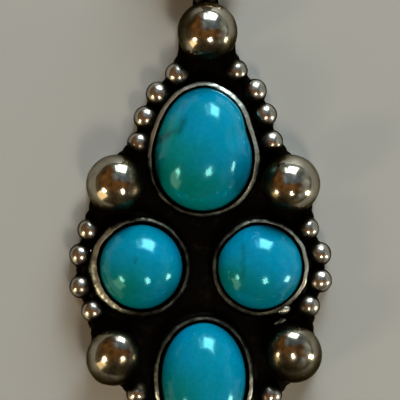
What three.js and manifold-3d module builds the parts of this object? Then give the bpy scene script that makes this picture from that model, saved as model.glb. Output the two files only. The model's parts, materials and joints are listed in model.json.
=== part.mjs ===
// A silver and turquoise cluster pendant. A back plate carries four plain bezels, each with a
// domed turquoise stone, and an edging of large and small balls of silver shot. At its top a
// soldered eye holds a plain strip bail.
//
// Millimetres. The pendant lies on its back: X runs across it, +Y up it to the bail, and +Z out
// of its front. The origin is the middle of the cluster, on the back face, so the back is z = 0.
import * as THREE from 'three';
import { mergeVertices } from 'three/addons/utils/BufferGeometryUtils.js';
import Module from 'manifold-3d';

const wasm = await Module();
wasm.setup();

// ---- Driving dimensions ----

const PLATE_THICKNESS = 0.8;
const PLATE_INSET = 0.08; // the plate's edge stands this far inside the edging's outline
const NOTCH_DEPTH = 0.35; // how much further in it stands between two balls
const PLATE_STEPS = 144; // sides of the plate's outline

const BALL_SINK = 0.25; // how deep a large ball is soldered into the plate
const GRANULE_SINK = 0.12;
const SOLDER_JOIN = 0.15; // how deep a bezel runs into the plate

const BEZEL_WALL = 0.25;
const BEZEL_HEIGHT = 1.55; // above the plate
const BEZEL_STEPS = 42; // sides of a bezel's outline

const STONE_LIFT = 0.3; // gap between a stone and the plate
const GIRDLE_HEIGHT = 0.7; // the straight side of a stone
const STONE_STEPS = 36;
const STONE_RINGS = 6; // rings of facets from a stone's girdle to its top

const EYE = { x: 0.29, y: 21.15, z: 1.4, wire: 0.45, bend: 1.25, straight: 1.1 };

const STRIP_THICKNESS = 0.65;
const BAIL_GAP = 0.3; // between the bail and the eye's wire
const BAIL_HOLE = 4.4; // height of the bail's hole at its far end
const BAIL_LENGTH = 7.2; // from the eye's wire to the middle of the far bend
const BAIL_LEVEL = 3.4; // how much of that the top run stays level
const BAIL_WIDTH_NEAR = 2.5;
const BAIL_WIDTH_FAR = 4.4;

// The large balls. leanX and leanY say how far a ball's top stands over, for each mm of height.
const BALLS = [
  { x: 0.46, y: 16.68, radius: 2.15, leanX: 0, leanY: 0 },
  { x: -6.09, y: 5.82, radius: 2.11, leanX: 0.12, leanY: 0.05 },
  { x: -6.2, y: -6.54, radius: 1.98, leanX: 0.2, leanY: 0.28 },
  { x: 0.2, y: -16.6, radius: 2.1, leanX: 0, leanY: 0 },
  { x: 6.6, y: -6.28, radius: 2.03, leanX: -0.14, leanY: 0.26 },
  { x: 6.41, y: 5.85, radius: 2.1, leanX: -0.1, leanY: -0.04 },
];

// The small balls, arc by arc: x, y and radius of each.
const UPPER_LEFT = [[-1.64, 13.71, 0.92], [-3.07, 12.31, 0.9], [-3.96, 10.61, 0.88], [-4.41, 8.77, 0.89]];
const LEFT = [[-8.02, 2.55, 0.85], [-8.64, 0.77, 0.83], [-8.61, -1.51, 0.84], [-7.75, -3.21, 0.86]];
const RIGHT = [[7.66, -2.86, 0.87], [8.53, -1.07, 0.87], [8.49, 0.86, 0.86], [7.61, 2.66, 0.87]];
const UPPER_RIGHT = [[5.03, 8.87, 0.87], [4.59, 10.81, 0.87], [3.86, 12.54, 0.87], [2.49, 13.96, 0.86]];
const CROWN = { x: 0.29, y: 19.35, radius: 0.86 }; // the small ball above the top one

// The lower arcs mirror the upper ones, a little lower down.
const LOWER_SHIFT = { x: -0.08, y: -0.35 };

// The solder beads: one between a small ball and the left bezel, one on the right bezel's seam.
const SOLDER_BEADS = [
  { x: -7.93, y: 0.93, z: 1.5, radius: 0.3 },
  { x: 6.05, y: -3.22, z: 1.6, radius: 0.4 },
];

// The stones and their bezels. halfX and halfY are half the width and length of the bezel's rim,
// stoneX and stoneY the same of the stone. egg narrows the top end, or widens it where negative.
// flare is how far the bezel's foot stands out beyond its rim, and dome the height of the
// stone's crown. dents push the outline in by depth, in mm, at an angle and over a spread, in
// degrees anticlockwise from +X.
const STONES = [
  {
    name: 'stone_top', x: 0.17, y: 8.35, halfX: 4.03, halfY: 4.84, stoneX: 3.5, stoneY: 4.42,
    egg: 0.15, flare: 0.12, dome: 3.3,
    dents: [{ angle: 20, depth: 0.13, spread: 15 }, { angle: 48, depth: -0.08, spread: 14 }],
  },
  {
    name: 'stone_left', x: -4.3, y: -0.07, halfX: 3.54, halfY: 3.54, stoneX: 2.97, stoneY: 3.03,
    egg: 0, flare: 0.3, dome: 2.7, dents: [],
  },
  {
    name: 'stone_right', x: 4.24, y: -0.09, halfX: 3.47, halfY: 3.47, stoneX: 3.03, stoneY: 3.03,
    egg: 0, flare: 0.12, dome: 2.7, dents: [{ angle: 135, depth: 0.1, spread: 18 }],
  },
  {
    name: 'stone_bottom', x: 0.19, y: -8.36, halfX: 3.58, halfY: 4.77, stoneX: 3.02, stoneY: 4.33,
    egg: -0.075, flare: 0.12, dome: 2.9, dents: [],
  },
];

// ---- Materials ----

const silver = new THREE.MeshStandardMaterial({ color: 0x8d8a82, metalness: 1, roughness: 0.3 });
const turquoise = new THREE.MeshStandardMaterial({ color: 0x008fa6, metalness: 0, roughness: 0.25 });

// ---- Solids ----

// A geometry as a manifold-3d solid, without the flat triangles that a pole or a seam leaves.
function solid(geometry) {
  const plain = geometry.clone();
  plain.deleteAttribute('normal');
  plain.deleteAttribute('uv');
  const merged = mergeVertices(plain, 1e-4);
  const corners = merged.index.array;
  const triVerts = [];
  for (let i = 0; i < corners.length; i += 3) {
    const [a, b, c] = [corners[i], corners[i + 1], corners[i + 2]];
    if (a !== b && b !== c && c !== a) triVerts.push(a, b, c);
  }
  const vertProperties = merged.attributes.position.array;
  return new wasm.Manifold(new wasm.Mesh({
    numProp: 3, vertProperties, triVerts: new Uint32Array(triVerts),
  }));
}

// A manifold-3d solid as a named three.js mesh.
function meshOf(body, name, material) {
  const { vertProperties, triVerts } = body.getMesh();
  const geometry = new THREE.BufferGeometry();
  geometry.setAttribute('position', new THREE.BufferAttribute(vertProperties, 3));
  geometry.setIndex(new THREE.BufferAttribute(triVerts, 1));
  geometry.computeVertexNormals();
  const mesh = new THREE.Mesh(geometry, material);
  mesh.name = name;
  return mesh;
}

// Moves each vertex of a geometry by a function of its position.
function bend(geometry, move) {
  const position = geometry.attributes.position;
  const point = new THREE.Vector3();
  for (let i = 0; i < position.count; i += 1) {
    point.fromBufferAttribute(position, i);
    move(point);
    position.setXYZ(i, point.x, point.y, point.z);
  }
  return geometry;
}

// ---- Balls ----

function sphere({ x, y, z, radius, leanX = 0, leanY = 0 }, around, down) {
  const geometry = new THREE.SphereGeometry(radius, around, down).rotateX(Math.PI / 2);
  bend(geometry, (p) => {
    p.x += leanX * p.z;
    p.y += leanY * p.z;
  });
  return solid(geometry.translate(x, y, z));
}

const row = ([x, y, radius]) => ({ x, y, radius });
const mirrored = ([x, y, radius]) => ({ x: x + LOWER_SHIFT.x, y: LOWER_SHIFT.y - y, radius });

// The edging in order, anticlockwise from the top ball.
const edging = [
  BALLS[0], ...UPPER_LEFT.map(row), BALLS[1], ...LEFT.map(row), BALLS[2],
  ...UPPER_LEFT.map(mirrored).reverse(), BALLS[3], ...UPPER_RIGHT.map(mirrored).reverse(),
  BALLS[4], ...RIGHT.map(row), BALLS[5], ...UPPER_RIGHT.map(row),
];

function balls() {
  const large = BALLS.map((ball) => (
    sphere({ ...ball, z: PLATE_THICKNESS + ball.radius - BALL_SINK }, 16, 11)
  ));
  const small = [...edging.filter((ball) => !BALLS.includes(ball)), CROWN].map((ball) => (
    sphere({ ...ball, z: PLATE_THICKNESS + ball.radius - GRANULE_SINK }, 10, 6)
  ));
  const beads = SOLDER_BEADS.map((bead) => sphere(bead, 8, 5));
  return [...large, ...small, ...beads];
}

// ---- Back plate ----

// The discs whose outline the plate follows: one under each ball, and three between neighbours.
function plateDiscs() {
  const discs = [];
  edging.forEach((ball, i) => {
    const next = edging[(i + 1) % edging.length];
    for (const share of [0, 0.25, 0.5, 0.75]) {
      const inset = PLATE_INSET + NOTCH_DEPTH * Math.sin(Math.PI * share);
      discs.push({
        x: THREE.MathUtils.lerp(ball.x, next.x, share),
        y: THREE.MathUtils.lerp(ball.y, next.y, share),
        radius: THREE.MathUtils.lerp(ball.radius, next.radius, share) - inset,
      });
    }
  });
  discs.push({ ...CROWN, radius: CROWN.radius + PLATE_INSET });
  return discs;
}

// How far the plate reaches from the origin in one direction: the far side of the disc that
// reaches furthest.
function plateReach(discs, angle) {
  const [c, s] = [Math.cos(angle), Math.sin(angle)];
  return Math.max(...discs.map(({ x, y, radius }) => {
    const across = y * c - x * s;
    return Math.abs(across) < radius ? x * c + y * s + Math.sqrt(radius ** 2 - across ** 2) : 0;
  }));
}

function plate() {
  const discs = plateDiscs();
  const outline = new THREE.Shape(Array.from({ length: PLATE_STEPS }, (_, i) => {
    const angle = (i / PLATE_STEPS) * 2 * Math.PI;
    const reach = plateReach(discs, angle);
    return new THREE.Vector2(reach * Math.cos(angle), reach * Math.sin(angle));
  }));
  return solid(new THREE.ExtrudeGeometry(outline, { depth: PLATE_THICKNESS, bevelEnabled: false }));
}

// ---- Bezels and stones ----

// The distance from an outline's middle to its edge, in one direction.
function outlineReach({ halfX, halfY, egg, dents }, angle) {
  const widest = Math.sqrt(1 - egg ** 2) * (1 + egg ** 2); // of the egg's own formula
  let reach = 1 / Math.hypot(Math.cos(angle) / halfX, Math.sin(angle) / halfY);
  const height = (reach * Math.sin(angle)) / halfY;
  const narrowing = (1 - egg * height) / widest;
  reach *= Math.hypot(Math.cos(angle) * narrowing, Math.sin(angle));
  for (const dent of dents) {
    const turn = THREE.MathUtils.radToDeg(angle) - dent.angle;
    const off = THREE.MathUtils.euclideanModulo(turn + 180, 360) - 180;
    reach -= dent.depth * Math.exp(-((off / dent.spread) ** 2));
  }
  return reach;
}

// A ring round an outline: each profile point is a distance outside the outline and a height.
function ring(outline, profile, steps) {
  const middle = 10; // mean radius of the lathe before it is bent to the outline
  const points = [...profile, profile[0]].map(([out, z]) => new THREE.Vector2(middle + out, z));
  const geometry = new THREE.LatheGeometry(points, steps).rotateX(Math.PI / 2);
  return bend(geometry, (p) => {
    const angle = Math.atan2(p.y, p.x);
    const reach = outlineReach(outline, angle) + Math.hypot(p.x, p.y) - middle;
    p.x = outline.x + reach * Math.cos(angle);
    p.y = outline.y + reach * Math.sin(angle);
  });
}

function bezel(stone) {
  const foot = PLATE_THICKNESS - SOLDER_JOIN;
  const rim = PLATE_THICKNESS + BEZEL_HEIGHT;
  return solid(ring(stone, [
    [-BEZEL_WALL, foot], [stone.flare, foot], [stone.flare, PLATE_THICKNESS], [0, rim],
    [-BEZEL_WALL, rim],
  ], BEZEL_STEPS));
}

// A domed stone: a straight side, then a crown with a round top.
function cabochon(stone) {
  const base = PLATE_THICKNESS + STONE_LIFT;
  const girdle = base + GIRDLE_HEIGHT;
  const profile = [new THREE.Vector2(0, base), new THREE.Vector2(1, base)];
  for (let i = 0; i <= STONE_RINGS; i += 1) {
    const turn = (i / STONE_RINGS) * (Math.PI / 2);
    const out = i === STONE_RINGS ? 0 : Math.cos(turn);
    profile.push(new THREE.Vector2(out, girdle + stone.dome * Math.sin(turn)));
  }
  const outline = { ...stone, halfX: stone.stoneX, halfY: stone.stoneY };
  const geometry = new THREE.LatheGeometry(profile, STONE_STEPS).rotateX(Math.PI / 2);
  return solid(bend(geometry, (p) => {
    const reach = outlineReach(outline, Math.atan2(p.y, p.x));
    p.x = stone.x + reach * p.x;
    p.y = stone.y + reach * p.y;
  }));
}

// ---- Eye and bail ----

// A level ring with straight long sides: two bevelled outlines, one inside the other.
function eye() {
  const track = (half) => {
    const path = new THREE.Path();
    path.absarc(EYE.straight, 0, half, -Math.PI / 2, Math.PI / 2, false);
    path.absarc(-EYE.straight, 0, half, Math.PI / 2, (3 * Math.PI) / 2, false);
    return path;
  };
  const round = EYE.wire * 0.45; // how much of the wire's thickness is rounded off at each edge
  const flat = EYE.wire - round;
  const outline = new THREE.Shape(track(EYE.bend + flat).getPoints(6));
  outline.holes.push(track(EYE.bend - flat));
  const geometry = new THREE.ExtrudeGeometry(outline, {
    depth: 2 * flat, bevelThickness: round, bevelSize: round, bevelSegments: 2, curveSegments: 6,
  });
  return solid(geometry.translate(EYE.x, EYE.y, EYE.z - flat));
}

// The bail's side view, with its hole: round the eye's wire at the near end, a full bend at the
// far end, and a level stretch along the top before it slopes down. It lies on z = 0.
function bailSide(outset) {
  const nearRadius = EYE.wire + BAIL_GAP + outset;
  const farRadius = BAIL_HOLE / 2 + outset;
  const near = { y: 0, z: EYE.z };
  const far = { y: BAIL_LENGTH, z: STRIP_THICKNESS + BAIL_HOLE / 2 };
  const level = far.y - BAIL_LEVEL;
  // The slope touches the near bend, so it leaves it at the angle at which it runs.
  const rise = far.z + farRadius - near.z - nearRadius;
  const slope = Math.atan2(rise, level - near.y);
  const path = new THREE.Path();
  path.absarc(far.y, far.z, farRadius, -Math.PI / 2, Math.PI / 2, false);
  path.lineTo(level, far.z + farRadius);
  path.absarc(near.y, near.z, nearRadius, Math.PI / 2 + slope, (3 * Math.PI) / 2, false);
  return path;
}

function bail() {
  const side = new THREE.Shape(bailSide(STRIP_THICKNESS).getPoints(14));
  side.holes.push(bailSide(0));
  const strip = new THREE.ExtrudeGeometry(side, {
    depth: BAIL_WIDTH_FAR, bevelEnabled: false, curveSegments: 14,
  });
  // The side view is drawn in X and Y, so it is turned to stand in Y and Z.
  const turn = new THREE.Matrix4().makeBasis(
    new THREE.Vector3(0, 1, 0), new THREE.Vector3(0, 0, 1), new THREE.Vector3(1, 0, 0),
  );
  strip.applyMatrix4(turn).translate(-BAIL_WIDTH_FAR / 2, 0, 0);
  const wire = EYE.y + EYE.bend;
  const narrow = BAIL_WIDTH_NEAR / BAIL_WIDTH_FAR;
  bend(strip, (p) => {
    p.x = EYE.x + p.x * THREE.MathUtils.lerp(narrow, 1, THREE.MathUtils.smoothstep(p.y, 0, BAIL_LENGTH));
    p.y += wire;
  });
  return solid(strip);
}

// ---- Assembly ----

const soldered = [plate(), ...STONES.map(bezel), ...balls(), eye()]
  .reduce((whole, piece) => whole.add(piece));

const pendant = new THREE.Group();
pendant.name = 'turquoise_pendant';
pendant.add(meshOf(soldered, 'silver_setting', silver));
for (const stone of STONES) pendant.add(meshOf(cabochon(stone), stone.name, turquoise));
pendant.add(meshOf(bail(), 'bail', silver));

export default pendant;
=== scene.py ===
# %% [markdown]
# # A silver and turquoise cluster pendant
#
# The pendant is about 19 mm wide and 51 mm long. A silversmith makes one like this from a sheet of
# sterling silver, four bezel strips, a few dozen balls of shot and four polished stones. This lesson
# builds the same pieces in Blender, in the order in which they are made at the bench: sheet, bezels,
# shot, findings and stones. The finish of each comes just before it.
#
# Everything is in metres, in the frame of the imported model. The pendant lies on its back on z = 0,
# X runs across it, +Y runs up to the bail, and +Z comes out of its front.

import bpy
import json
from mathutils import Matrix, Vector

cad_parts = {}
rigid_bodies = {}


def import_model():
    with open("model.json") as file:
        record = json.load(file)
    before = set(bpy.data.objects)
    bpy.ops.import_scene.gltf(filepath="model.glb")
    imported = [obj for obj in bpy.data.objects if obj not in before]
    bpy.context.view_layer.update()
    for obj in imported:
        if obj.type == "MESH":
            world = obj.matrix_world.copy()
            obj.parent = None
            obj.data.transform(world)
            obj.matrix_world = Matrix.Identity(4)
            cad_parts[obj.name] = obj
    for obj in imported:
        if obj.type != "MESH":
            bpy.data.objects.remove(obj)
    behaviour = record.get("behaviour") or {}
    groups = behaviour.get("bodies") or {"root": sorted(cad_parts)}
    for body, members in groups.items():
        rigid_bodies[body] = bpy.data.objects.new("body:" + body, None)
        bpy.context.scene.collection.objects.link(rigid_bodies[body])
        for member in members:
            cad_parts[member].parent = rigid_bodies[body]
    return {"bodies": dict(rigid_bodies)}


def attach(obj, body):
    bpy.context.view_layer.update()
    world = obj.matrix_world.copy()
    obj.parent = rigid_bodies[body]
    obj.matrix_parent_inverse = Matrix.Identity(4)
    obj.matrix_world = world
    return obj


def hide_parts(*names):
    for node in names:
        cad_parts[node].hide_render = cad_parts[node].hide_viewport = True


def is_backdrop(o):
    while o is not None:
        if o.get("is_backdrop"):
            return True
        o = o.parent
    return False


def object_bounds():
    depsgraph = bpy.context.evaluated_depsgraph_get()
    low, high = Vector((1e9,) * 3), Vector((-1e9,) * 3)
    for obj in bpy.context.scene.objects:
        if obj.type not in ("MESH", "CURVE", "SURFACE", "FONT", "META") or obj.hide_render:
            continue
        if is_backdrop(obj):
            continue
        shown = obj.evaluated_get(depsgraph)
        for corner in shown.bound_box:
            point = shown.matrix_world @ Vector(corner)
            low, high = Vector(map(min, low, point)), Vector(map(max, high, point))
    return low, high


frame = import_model()
cad_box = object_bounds()
print("CAD box in mm:", [[round(v * 1000, 2) for v in corner] for corner in cad_box])

# %% Modules and units
import json
import math

import bmesh
import bpy
from mathutils import Euler, Vector, noise
from mathutils.bvhtree import BVHTree

MM = 0.001
scene = bpy.context.scene
scene.view_settings.view_transform = "Standard"  # shows colours as they are, with no film look


def per_mm(size):
    """The scale of a pattern on Object coordinates whose features are that many millimetres wide."""
    return 1.0 / (size * MM)


def angles_round(count):
    """That many angles, spread evenly round a circle from +X."""
    return [2 * math.pi * i / count for i in range(count)]


def polar(radius, angle, x=0, y=0):
    """The point at a distance from (x, y), in the direction of an angle from +X."""
    return x + radius * math.cos(angle), y + radius * math.sin(angle)


print("one millimetre is", MM, "of Blender's units")

# %% [markdown]
# ## Camera
#
# The camera looks straight down on the pendant, from far enough away that the tall stones hardly
# lean outwards. Its view is about 29 mm wide, so it takes in the upper three quarters of the
# cluster, and the bail and the last stone's lower end run out of it.

# %% Aim the camera
VIEW_WIDTH = 28.57 * MM  # what the camera takes in, at the height it is aimed at
VIEW_AIM = Vector((-0.07, 4.71, 2.35)) * MM  # beside the top stone, level with the bezels' rims
CAMERA_DISTANCE = 0.2
SENSOR_WIDTH = 36.0


def placed(name, data):
    """An object in the scene that holds a camera, a light or a mesh."""
    holder = bpy.data.objects.new(name, data)
    scene.collection.objects.link(holder)
    return holder


camera_data = bpy.data.cameras.new("camera")
camera_data.sensor_width = SENSOR_WIDTH
camera_data.lens = SENSOR_WIDTH * CAMERA_DISTANCE / VIEW_WIDTH
camera_data.clip_start = 0.01
scene.camera = placed("camera", camera_data)
scene.camera.location = VIEW_AIM + Vector((0, 0, CAMERA_DISTANCE))
print(f"camera {CAMERA_DISTANCE / MM:.0f} mm away, lens {camera_data.lens:.0f} mm")

# %% [markdown]
# ## Colours and nodes
#
# Colours are written as sRGB hex values, as a colour picker shows them, and one function turns them
# into the linear values that Blender works in. Another adds a node to any tree and fills it in from
# a dictionary: a plain value sets a property or an input, and an earlier node feeds one. So each
# material and each Geometry Nodes tree can be read as a list of steps.

# %% A colour and a node
MIX_A, MIX_B = 6, 7  # the two colour inputs of a Mix node, which share their names with others


def linear(hex_colour):
    """The linear RGBA of an sRGB colour such as "8D8A82"."""
    channels = [int(hex_colour[i:i + 2], 16) / 255 for i in (0, 2, 4)]
    return (*[c / 12.92 if c <= 0.04045 else ((c + 0.055) / 1.055) ** 2.4 for c in channels], 1.0)


def fill(node, facts):
    """Sets a node's properties and inputs. A socket, or another node's first output, is linked."""
    for key, value in facts.items():
        if isinstance(value, bpy.types.Node):
            value = next(output for output in value.outputs if output.enabled)
        if isinstance(value, bpy.types.NodeSocket):
            node.id_data.links.new(value, node.inputs[key])
        elif isinstance(key, str) and hasattr(node, key):
            setattr(node, key, value)
        else:
            node.inputs[key].default_value = value


def add(tree, kind, facts=None):
    """Adds a node to a tree, with its properties, its inputs' values and its links."""
    node = tree.nodes.new(kind)
    fill(node, facts or {})
    return node


print("mid grey 808080 is", round(linear("808080")[0], 3), "in linear light")

# %% [markdown]
# ## Studio
#
# Polished silver shows what is around it more than its own colour, so the lights matter as much as
# the metal. A large cool window stands low behind the pendant's top, with its pale reveal round it
# and a narrow pane beside it. A wide warm softbox and a small lamp stand on the left, one small lamp
# hangs overhead and one stands on the right: these give each ball its lower highlights. The room is
# a world of a few colours: brown overhead and on the left, grey round the window, a pale wall on
# the right, and a band round the horizon. The middle of each ball shows them all.

# %% Room light
def room_light(name, window_side, overhead, far_side, right_wall, horizon_near, horizon_far):
    """A world with a colour for each side, one overhead, and a band round the horizon."""
    world = bpy.data.worlds.new(name)
    world.use_nodes = True
    tree = world.node_tree
    tree.nodes.clear()
    direction = add(tree, "ShaderNodeTexCoord").outputs["Generated"]
    # Noise makes the borders ragged and the brightness uneven, as furniture and walls would.
    clutter = add(tree, "ShaderNodeTexNoise", {"Vector": direction, "Scale": 2.4, "Detail": 1.2})
    ragged = add(tree, "ShaderNodeVectorMath", {"operation": "MULTIPLY_ADD",
                 0: clutter.outputs["Color"], 1: (0.5, 0.5, 0.5), 2: (-0.25, -0.25, -0.25)})
    looked = add(tree, "ShaderNodeVectorMath", {"operation": "ADD", 0: direction, 1: ragged})
    axes = add(tree, "ShaderNodeSeparateXYZ", {0: looked})

    def blend(axis, start, end, near, far):
        """A soft change from near to far, each a colour or a node, as an axis goes along."""
        share = add(tree, "ShaderNodeMapRange", {"interpolation_type": "SMOOTHSTEP",
                    "Value": axes.outputs[axis], "From Min": start, "From Max": end})
        return add(tree, "ShaderNodeMix", {"data_type": "RGBA", 0: share, MIX_A: near, MIX_B: far})

    # Each border has its axis, where along it the change starts and ends, and its two sides.
    window_wall = blend("X", -0.5, -0.05, overhead, window_side)
    walls = blend("X", 0.3, 0.8, blend("Y", -0.25, 0.35, far_side, window_wall), right_wall)
    band = blend("Y", -0.8, 0.3, horizon_far, blend("X", -0.5, 0.0, horizon_far, horizon_near))
    around = blend("Z", 0.05, 0.45, band, walls)
    ceiling = blend("Y", 0.0, 0.3, overhead, window_wall)
    middle = blend("Y", -0.6, -0.2, far_side, ceiling)
    colour = blend("Z", 0.4, 0.7, around, middle)
    depth = add(tree, "ShaderNodeMapRange", {"Value": clutter, "From Min": 0.3, "From Max": 0.7,
                "To Min": 0.3, "To Max": 1.6})
    background = add(tree, "ShaderNodeBackground", {"Color": colour, "Strength": depth})
    add(tree, "ShaderNodeOutputWorld", {"Surface": background})
    return world


scene.world = room_light("room", window_side=linear("7A8890"), overhead=linear("78532C"),
                         far_side=linear("463A28"), right_wall=linear("A2A49E"),
                         horizon_near=linear("868E88"), horizon_far=linear("574D36"))
print("world:", scene.world.name)

# %% Lights
# Each light's direction from the pendant, its size in metres, its brightness as radiance (1 is a
# white wall), and its colour. The reveal stands just behind the window.
LIGHTS_AWAY = 0.6  # metres
LIGHTS = {
    "window": {"towards": (0.25, 0.865, 0.44), "size": (0.25, 0.28), "radiance": 12.0,
               "colour": "EFFCFF"},
    "window_reveal": {"towards": (0.24, 0.865, 0.44), "size": (0.36, 0.36), "radiance": 3.0,
                      "colour": "EFFCFF", "away": 0.61},
    "window_pane": {"towards": (-0.12, 0.88, 0.47), "size": (0.07, 0.28), "radiance": 3.0,
                    "colour": "E8F8FF"},
    "softbox": {"towards": (-0.79, -0.57, 0.23), "size": (0.22, 0.3), "radiance": 2.4,
                "colour": "FFE3AE"},
    "left_lamp": {"towards": (-0.76, -0.42, 0.49), "size": (0.11, 0.10), "radiance": 18.0,
                  "colour": "FFEBC8"},
    "lamp": {"towards": (0.22, -0.53, 0.80), "size": (0.11, 0.14), "radiance": 20.0,
             "colour": "FFF0D6"},
    "side_lamp": {"towards": (0.92, -0.36, 0.11), "size": (0.11, 0.16), "radiance": 18.0,
                  "colour": "FFF6DC"},
}


def softbox(name, towards, size, radiance, colour, away=LIGHTS_AWAY):
    """A rectangular light that faces the pendant."""
    light = bpy.data.lights.new(name, "AREA")
    light.shape = "RECTANGLE"
    light.size, light.size_y = size
    light.energy = radiance * math.pi * size[0] * size[1]
    light.color = linear(colour)[:3]
    direction = Vector(towards).normalized()
    holder = placed(name, light)
    holder.location = direction * away
    holder.rotation_euler = direction.to_track_quat("Z", "Y").to_euler()
    return light


for name, facts in LIGHTS.items():
    print(f"{name}: {softbox(name, **facts).energy:.1f} W")

# %% [markdown]
# ## Finished pieces
#
# Every piece becomes an object at the origin, unturned and unscaled, with its place in its mesh.
# The helpers here make one from vertices and faces, join rings of vertices, close the ends of a
# stack of rings, write an attribute, and keep the finished piece. Those for Geometry Nodes, whose
# result is turned into a plain mesh too, come with the bezels.

# %% Helpers for pieces
pieces = {}


def piece_from(name, vertices, faces, material):
    """An object made of vertices in metres and faces that point outwards."""
    mesh = bpy.data.meshes.new(name)
    mesh.from_pydata(vertices, [], faces)
    if material:
        mesh.materials.append(material)
    mesh.polygons.foreach_set("use_smooth", [True] * len(mesh.polygons))
    mesh.update()
    return placed(name, mesh)


def ring_faces(rings, around, closed=False):
    """Quads between rings that each have around vertices, counted from vertex 0."""
    faces = []
    for r in range(rings if closed else rings - 1):
        here, there = r * around, ((r + 1) % rings) * around
        for i in range(around):
            j = (i + 1) % around
            faces.append((here + i, here + j, there + j, there + i))
    return faces


def capped(vertices, rings, around):
    """The faces of a stack of rings, the lowest first, closed with a fan at each end."""
    faces = ring_faces(rings, around)
    for ring, flip in ((0, True), (rings - 1, False)):
        edge = vertices[ring * around:(ring + 1) * around]
        middle = len(vertices)
        vertices.append(sum((Vector(v) for v in edge), Vector()) / around)
        for i in range(around):
            corner = (ring * around + i, ring * around + (i + 1) % around)
            faces.append((*(reversed(corner) if flip else corner), middle))
    return faces


def write_attribute(mesh, name, numbers):
    """Writes one number for each vertex, or the three of a vector, into a new attribute."""
    of_numbers = len(numbers) == len(mesh.vertices)
    kind, field = ("FLOAT", "value") if of_numbers else ("FLOAT_VECTOR", "vector")
    mesh.attributes.new(name, kind, "POINT").data.foreach_set(field, numbers)


def keep(name, piece):
    """Puts a finished piece on the list, and says how many faces it has."""
    pieces[name] = piece
    print(f"{name}: {len(piece.data.polygons)} faces")


print("a ring of 4 vertices on another makes", len(ring_faces(2, 4)), "faces")

# %% [markdown]
# ## Finish: sterling silver, blackened and buffed
#
# Sterling silver is dipped in liver of sulphur, which turns it black all over, and then buffed. The
# wheel brings back a mirror on the high, open spots only, so the metal runs from bright on top,
# through a dull film of oxide, to black in the recesses. One function makes the finish. It reads an
# attribute, `buffed`, that is worked out for each vertex once all the silver is in
# place. On the large balls and the bezels' rims it also holds painted dark reflections, painted
# highlights and painted shade. To the eye it gives sharp but slightly wavy reflections, a warm grey
# metal colour, hairline scratches, and a soft brown-black edge where the oxide starts.

# %% What the buffing leaves on silver
GRAZING_SILVER = "B4AEA2"  # the metal's colour where it is seen edge on
HAZE = 0.35  # mm, the width of the cloudy spots that the buffing leaves
HAZE_ROUGHNESS = 0.14  # how much rougher the cloudiest of them are
HAIRLINE_WIDTH = 0.06  # mm, coarser than real ones, so that they show
HAIRLINE_LENGTH = 1.0  # mm
HAIRLINE_DEPTH = 0.02  # mm


def new_finish(name):
    """A new material and its shader."""
    material = bpy.data.materials.new(name)
    material.use_nodes = True
    return material, material.node_tree.nodes["Principled BSDF"]


print("hairlines are", HAIRLINE_WIDTH, "mm wide and", HAIRLINE_LENGTH, "mm long")

# %% Blackened and buffed silver
def buffed_silver(name, bright, film, oxide, rough, grain, scratches=0.04, blotches=0.5):
    """Silver that is oxide where the attribute buffed is 0 and bright where it is 1.

    film is the colour halfway, where only a thin film of oxide is left. rough is the roughness of
    the bright metal, the film and the oxide, and grain the width in mm of the blotches in which the
    oxide is left behind.
    """
    material, shader = new_finish(name)
    tree = material.node_tree
    place = add(tree, "ShaderNodeTexCoord").outputs["Object"]
    reached = add(tree, "ShaderNodeAttribute", {"attribute_name": "buffed"}).outputs["Fac"]
    patches = add(tree, "ShaderNodeTexNoise", {"Vector": place, "Scale": per_mm(grain),
                  "Detail": 4.0, "Roughness": 0.6})
    level = add(tree, "ShaderNodeMath", {"operation": "MULTIPLY_ADD", 0: patches, 1: blotches,
                2: reached})
    buffed = add(tree, "ShaderNodeMapRange", {"interpolation_type": "SMOOTHSTEP", "Value": level,
                 "From Min": blotches / 2, "From Max": 1 + blotches / 2})
    # Up to halfway the oxide gets thinner, and from there on the film is cleaned off.
    thinner = add(tree, "ShaderNodeMapRange", {"Value": buffed, "From Max": 0.5})
    cleaner = add(tree, "ShaderNodeMapRange", {"Value": buffed, "From Min": 0.5})
    worn = add(tree, "ShaderNodeMix", {"data_type": "RGBA", 0: thinner, MIX_A: linear(oxide),
               MIX_B: linear(film)})
    colour = add(tree, "ShaderNodeMix", {"data_type": "RGBA", 0: cleaner, MIX_A: worn,
                 MIX_B: linear(bright)})
    haze = add(tree, "ShaderNodeTexNoise", {"Vector": place, "Scale": per_mm(HAZE), "Detail": 5.0,
               "Roughness": 0.65})
    dull = add(tree, "ShaderNodeMath", {"operation": "MULTIPLY_ADD", 0: thinner,
               1: rough[1] - rough[2], 2: rough[2]})
    clean = add(tree, "ShaderNodeMath", {"operation": "MULTIPLY_ADD", 0: cleaner,
                1: rough[0] - rough[1], 2: dull})
    roughness = add(tree, "ShaderNodeMath", {"operation": "MULTIPLY_ADD", 0: haze,
                    1: HAZE_ROUGHNESS, 2: clean})
    # Hairlines left by the polishing compound: noise drawn out along one direction.
    drawn = add(tree, "ShaderNodeMapping", {"Vector": place, "Rotation": (0.3, 0.2, 0.6),
                "Scale": (1.0, HAIRLINE_WIDTH / HAIRLINE_LENGTH, 1.0)})
    hairlines = add(tree, "ShaderNodeTexNoise", {"Vector": drawn, "Scale": per_mm(HAIRLINE_WIDTH),
                    "Detail": 3.0})
    bump = add(tree, "ShaderNodeBump", {"Strength": scratches, "Distance": HAIRLINE_DEPTH * MM,
               "Height": hairlines})
    fill(shader, {"Metallic": 1.0, "Specular Tint": linear(GRAZING_SILVER), "Base Color": colour,
                  "Roughness": roughness, "Normal": bump})
    return material


print("the finish reads the attribute buffed: 0 is oxide, 0.5 a thin film of it, and 1 bright")

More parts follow.
